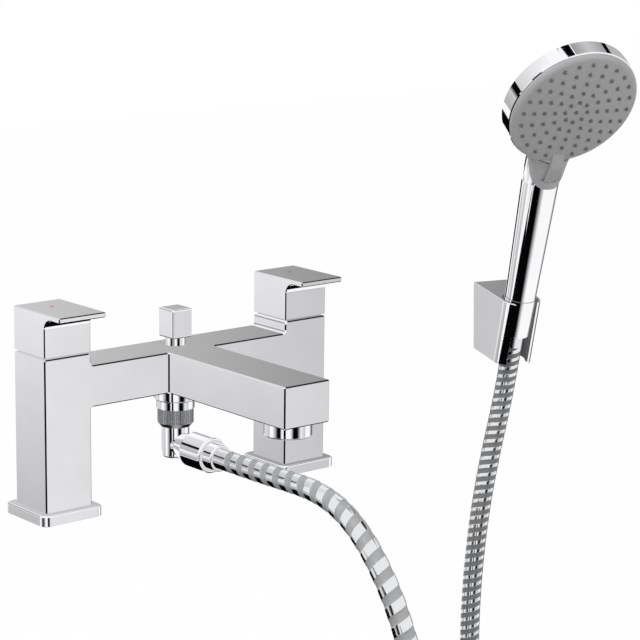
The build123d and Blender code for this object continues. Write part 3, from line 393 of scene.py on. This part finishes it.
# White surround, dimmer as a lamp than it looks
surround_lamp_share = 0.55
surround = bpy.data.worlds.new("white_surround")
scene.world = surround
surround.use_nodes = True
tree = surround.node_tree
tree.nodes.clear()
seen = seen_directly(tree)
level = add(
    tree,
    "ShaderNodeMapRange",
    {"To Min": surround_lamp_share, "To Max": 1.0},
    {"Value": seen.outputs[0]},
)
light = add(
    tree,
    "ShaderNodeBackground",
    {"Color": linear("#ffffff")},
    {"Strength": level.outputs["Result"]},
)
add(tree, "ShaderNodeOutputWorld", {}, {"Surface": light.outputs["Background"]})

# The point that the panels and lamps stand round
middle = Vector((0.08, -0.06, 0.12))


# Direction from the object: azimuth 0 is towards -Y, elevation above the horizon
def towards(azimuth, elevation):
    turn, lift = math.radians(azimuth), math.radians(elevation)
    return Vector((math.sin(turn) * math.cos(lift), -math.cos(turn) * math.cos(lift), math.sin(lift)))


# Studio panels that only the polished metal sees: pale ones shade its flat faces, dark ones draw
# its stripes and edge lines. Each is a patch of a sphere with a shade at each corner, given row by
# row from the lowest, or as one row that all of them share.
def panel(name, azimuths, elevations, shades, distance=1.5):
    made = bpy.data.materials.new(name)
    made.use_nodes = True
    tree = made.node_tree
    tree.nodes.clear()
    shade = add(tree, "ShaderNodeAttribute", {"attribute_name": "shade"})
    glow = add(tree, "ShaderNodeEmission", {"Strength": 1.0}, {"Color": shade.outputs["Color"]})
    add(tree, "ShaderNodeOutputMaterial", {}, {"Surface": glow.outputs["Emission"]})
    columns, rows = len(azimuths), len(elevations)
    corners = []
    for elevation in elevations:
        for azimuth in azimuths:
            corners.append(middle + towards(azimuth, elevation) * distance)
    faces = []
    for row in range(rows - 1):
        for column in range(columns - 1):
            corner = row * columns + column
            faces.append((corner, corner + 1, corner + columns + 1, corner + columns))
    mesh = bpy.data.meshes.new(name)
    mesh.from_pydata(corners, [], faces)
    colours = mesh.color_attributes.new("shade", "FLOAT_COLOR", "POINT")
    rows_of_shades = shades if len(shades) == rows * columns else shades * rows
    for place, colour in enumerate(rows_of_shades):
        colours.data[place].color = linear(colour)
    mesh.materials.append(made)
    screen = bpy.data.objects.new(name, mesh)
    screen.visible_camera = False
    screen.visible_diffuse = False
    screen.visible_shadow = False
    screen.visible_transmission = False
    scene.collection.objects.link(screen)


white, black = "#ffffff", "#050505"
# Flat faces of the casting and the levers
panel("panel_front_faces", (24, 46), (-26, -5), ["#ececec", "#c4c4c4"])
panel("panel_left_faces", (-152, -130), (-26, -5), ["#989898", "#989898", "#fcfcfc", "#fcfcfc"])
panel("panel_tops", (134, 162), (6, 22), ["#828282", "#dadada"])
# Stripes on the upright round pieces, lines on the upright edges and the stripe on the handle
panel("panel_left_stripe", (-114, -88, -74, -66), (-25, -4), [white, black, black, white])
panel("panel_right_stripe", (-30, -16, 4, 23), (-25, -4), [white, black, black, white])
panel("panel_corner_edges", (-60, -49), (-24, 0), [black, black], 12)
panel("panel_outer_edges", (120, 136), (-22, 0), [black, black], 12)
panel("panel_handle_stripe", (-92, -76, -58, -36, 0), (-46, -27), [white, black, black, black, white])
# Dark ground for all that faces down
panel("panel_low_left", (-178, -160, -142, -124, -106, -88, -70), (-75, -28), [black] * 7, 1.52)
panel("panel_low_front", (-70, -50, -30, -10, 10, 30, 50, 70), (-75, -46), [black] * 8)
panel("panel_low_right", (70, 90, 110, 130, 150), (-75, -34), [black] * 5)
panel("panel_low_back", (150, 162, 174, 186), (-60, -30), [black] * 4)
# The line along the hose nut, and the front edges of the tops
panel(
    "panel_nut_line",
    (-165, -155, -145, -135),
    (10, 15, 27, 36),
    ["#d8d8d8"] * 4 + [black] * 8 + ["#c8c8c8"] * 4,
    1.4,
)
panel("panel_top_front_edges", (52, 70, 88), (38, 62), ["#303030"] * 3)
# Rim of the handset's head, with its dark bars
panel(
    "panel_left_rim",
    (-182, -160, -136),
    (-3, 14, 70),
    ["#b4b4b4"] * 3 + ["#d2d2d2"] * 3 + ["#fafafa"] * 3,
)
panel("panel_right_rim", (84, 110), (38, 58, 75), ["#a0a0a0"] * 2 + ["#cacaca"] * 2 + ["#9c9c9c"] * 2)
panel("panel_right_bar", (84, 112), (32, 38), [black] * 2)
panel("panel_low_rim", (84, 118), (4, 32), ["#b8b8b8"] * 2)
panel("panel_dark_patch", (148, 173), (-18, -2), [black] * 2)
panel("panel_zenith_bar", (60, 90, 120, 150, 180), (76, 83), [black] * 5)
# The bracket's flat faces, and the sides of the mixer that face right
panel("panel_bracket_face", (-173, -156), (-22, -8), ["#b8b8b8", "#dcdcdc"])
panel("panel_bracket_top", (118, 134), (18, 35), ["#585858", "#b4b4b4"])
panel("panel_right_side", (84, 100, 118), (-30, -4), ["#f0f0f0", "#606060", "#909090"])


# A soft lamp that no mirror shows
def lamp(name, azimuth, elevation, distance, size, watts):
    data = bpy.data.lights.new(name, "AREA")
    data.size = size
    data.energy = watts
    away = towards(azimuth, elevation)
    made = bpy.data.objects.new(name, data)
    made.rotation_mode = "QUATERNION"
    made.rotation_quaternion = away.to_track_quat("Z", "Y")
    made.location = middle + away * distance
    made.visible_glossy = False
    scene.collection.objects.link(made)


lamp("lamp_key", -80, 48, 2.4, 1.4, 30)
lamp("lamp_fill", 20, 30, 2.6, 1.6, 12)

# Camera of the photograph: a long lens, a little above the spout and to its left
camera_place = (-0.98192, -1.3343, 0.48146)
camera_azimuth = -39.92772
camera_elevation = 12.11188
camera_roll = 0.68859
camera_data = bpy.data.cameras.new("camera")
camera_data.lens = 132.98
camera_data.sensor_width = 36
camera_data.clip_start = 0.05
camera_data.clip_end = 60
camera = bpy.data.objects.new("camera", camera_data)
camera.rotation_mode = "QUATERNION"
level_view = towards(camera_azimuth, camera_elevation).to_track_quat("Z", "Y")
camera.rotation_quaternion = level_view @ Quaternion((0, 0, 1), math.radians(camera_roll))
camera.location = camera_place
scene.collection.objects.link(camera)
scene.camera = camera
scene.view_settings.view_transform = "Standard"
